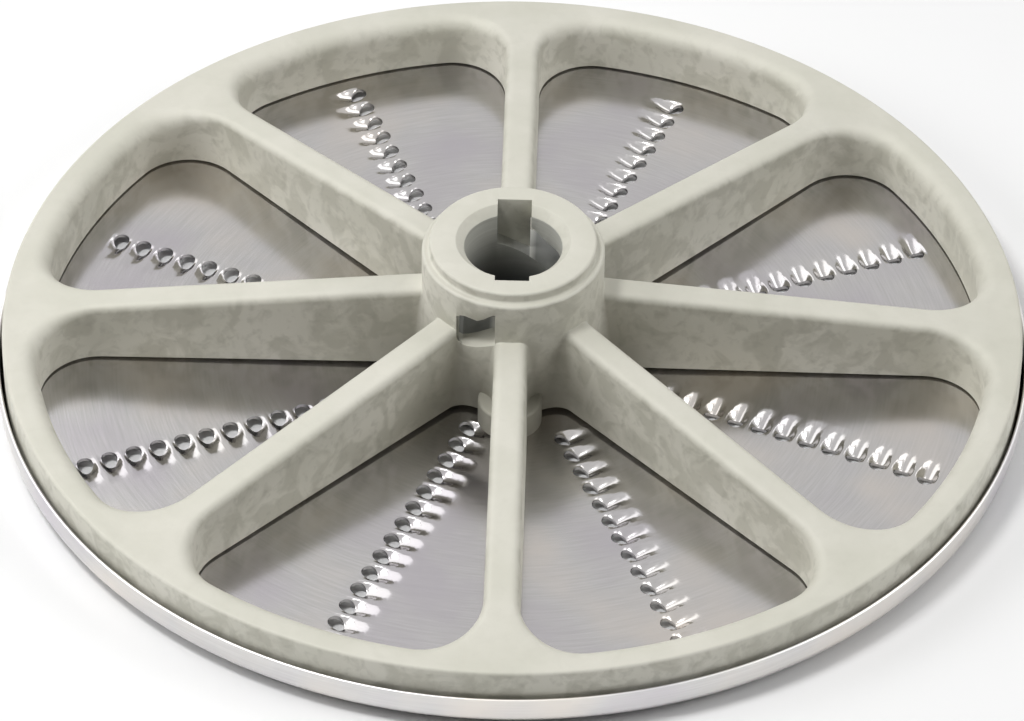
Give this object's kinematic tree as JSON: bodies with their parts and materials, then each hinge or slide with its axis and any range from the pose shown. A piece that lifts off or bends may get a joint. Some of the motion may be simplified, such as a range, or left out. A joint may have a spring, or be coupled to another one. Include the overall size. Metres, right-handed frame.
{
  "type": "grating disc",
  "caption": "Grating disc for a vegetable cutter: a cast spoked carrier with a bayonet drive hub and a stamped steel grater plate.",
  "frame": {"origin": "on the drive axis, level with the tips of the grater teeth", "axes": "+Z along the drive axis out of the bore's mouth; +Y along the spoke over one of the two plate screws"},
  "size_m": [0.205, 0.205, 0.0329],
  "materials": {
    "cast_aluminium": "matt as cast",
    "stainless_sheet": "brushed",
    "screw_steel": "satin"
  },
  "bodies": {
    "root": {"carrier_wheel": "cast_aluminium", "grater_plate": "stainless_sheet", "plate_screws": "screw_steel"}
  },
  "joints": []
}
